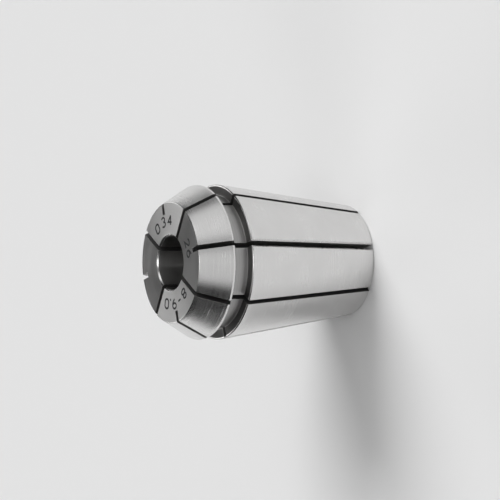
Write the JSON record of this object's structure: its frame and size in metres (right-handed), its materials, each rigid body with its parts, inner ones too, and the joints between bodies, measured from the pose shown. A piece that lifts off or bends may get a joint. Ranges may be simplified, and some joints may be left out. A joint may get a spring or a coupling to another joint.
{
  "type": "er collet",
  "caption": "Slotted spring-steel tap collet with a long body cone, a short nose cone, a nut groove, a round bore and a square drive socket.",
  "frame": {"origin": "centre of the rear face, on the axis, which is the surface it stands on", "axes": "+Z along the axis from the rear face to the nose face, +X along one of the slots that open at the nose"},
  "size_m": [0.026, 0.026, 0.034],
  "materials": {
    "ground_steel": "hardened spring steel, turned and ground bright, with fine rings around the axis"
  },
  "bodies": {
    "root": {"collet": "ground_steel"}
  },
  "joints": []
}
